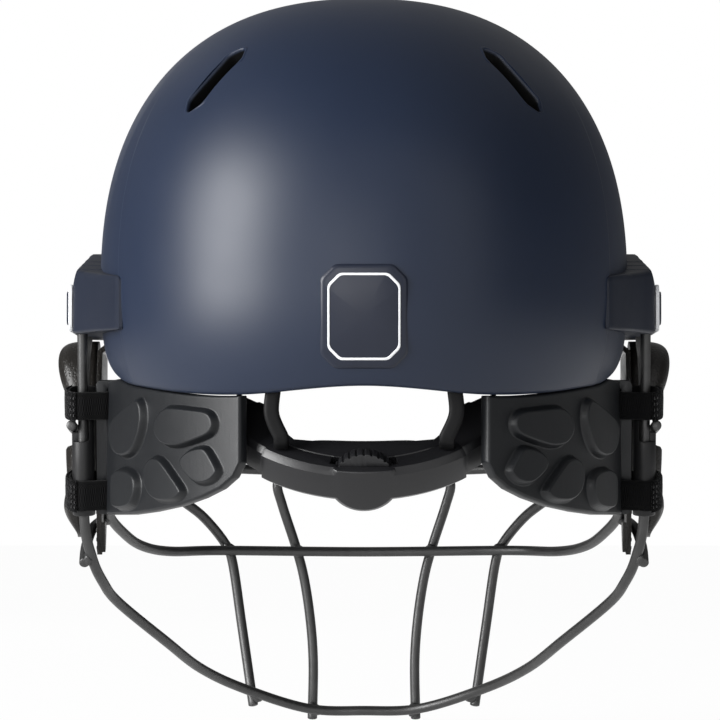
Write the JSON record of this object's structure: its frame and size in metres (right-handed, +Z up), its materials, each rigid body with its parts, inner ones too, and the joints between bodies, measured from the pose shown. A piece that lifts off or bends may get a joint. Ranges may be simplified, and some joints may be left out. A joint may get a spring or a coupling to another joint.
{
  "type": "batting helmet",
  "caption": "Hard batting helmet with a peak, a wire face guard on side pods, ear guards, swinging stem guards and a dial-adjusted fit band.",
  "frame": {"origin": "middle of the head opening, where the wearer's head seats", "axes": "+X to the wearer's left, +Y to the back, +Z up; the face looks along -Y"},
  "size_m": [0.248, 0.3029, 0.2945],
  "materials": {
    "shell_satin": "satin",
    "pod_plastic": "matte",
    "foam": "matte",
    "pad_fabric": "knit",
    "trim_white": "gloss",
    "plate_navy": "gloss",
    "screw_steel": "brushed",
    "wire_paint": "fine textured",
    "sleeve_plastic": "satin",
    "guard_plastic": "fine grain",
    "strap_webbing": "woven",
    "ear_leather": "grained",
    "band_plastic": "satin"
  },
  "bodies": {
    "helmet": {"shell": "shell_satin", "peak": "shell_satin", "foam_liner": "foam", "front_pad": "pad_fabric", "crown_pad": "pad_fabric", "side_pad_left": "pad_fabric", "side_pad_right": "pad_fabric", "rear_pad_left": "pad_fabric", "rear_pad_right": "pad_fabric", "pod_left": "pod_plastic", "pod_right": "pod_plastic", "pod_trim_left": "trim_white", "pod_trim_right": "trim_white", "side_plate_left": "plate_navy", "side_plate_right": "plate_navy", "pod_screws": "screw_steel", "chin_wire": "wire_paint", "mid_bar": "wire_paint", "eye_bar": "wire_paint", "centre_loop": "wire_paint", "outer_wire_left": "wire_paint", "outer_wire_right": "wire_paint", "side_stub_left": "wire_paint", "side_stub_right": "wire_paint", "post_sleeve_left": "sleeve_plastic", "post_sleeve_right": "sleeve_plastic", "ear_guard_left": "ear_leather", "ear_guard_right": "ear_leather", "ear_flap_left": "ear_leather", "ear_flap_right": "ear_leather", "dial_casing": "band_plastic", "casing_cover": "band_plastic", "cover_screws": "screw_steel", "hanger_left": "band_plastic", "hanger_right": "band_plastic", "nape_pad": "pad_fabric"},
    "dial": {"dial": "band_plastic"},
    "arm_left": {"fit_arm_left": "band_plastic"},
    "arm_right": {"fit_arm_right": "band_plastic"},
    "guard_left": {"stem_guard_left": "guard_plastic", "upper_strap_left": "strap_webbing", "lower_strap_left": "strap_webbing"},
    "guard_right": {"stem_guard_right": "guard_plastic", "upper_strap_right": "strap_webbing", "lower_strap_right": "strap_webbing"}
  },
  "joints": [
    {"name": "dial_turn", "type": "hinge", "parent": "helmet", "child": "dial", "pos_m": [0, 0.10519, -0.04527], "axis": [0, 0.809, -0.5878], "range_deg": [-3, 153]},
    {"name": "arm_left_slide", "type": "hinge", "parent": "helmet", "child": "arm_left", "pos_m": [0, 0.0685, -0.0107], "axis": [0, 0.5878, 0.809], "range_deg": [-9.33, 0]},
    {"name": "arm_right_slide", "type": "hinge", "parent": "helmet", "child": "arm_right", "pos_m": [0, 0.0685, -0.0107], "axis": [0, 0.5878, 0.809], "range_deg": [-0.2, 9.3]},
    {"name": "guard_left_swing", "type": "hinge", "parent": "helmet", "child": "guard_left", "pos_m": [0.1113, 0.021, 0.016], "axis": [0, -0.1689, -0.9856], "range_deg": [0, 25]},
    {"name": "guard_right_swing", "type": "hinge", "parent": "helmet", "child": "guard_right", "pos_m": [-0.1113, 0.021, 0.016], "axis": [0, 0.1689, 0.9856], "range_deg": [0, 25]}
  ],
  "couplings": [
    {"joint": "dial_turn", "follows": "arm_left_slide", "ratio": -16.083},
    {"joint": "arm_right_slide", "follows": "arm_left_slide", "ratio": -0.96404}
  ]
}
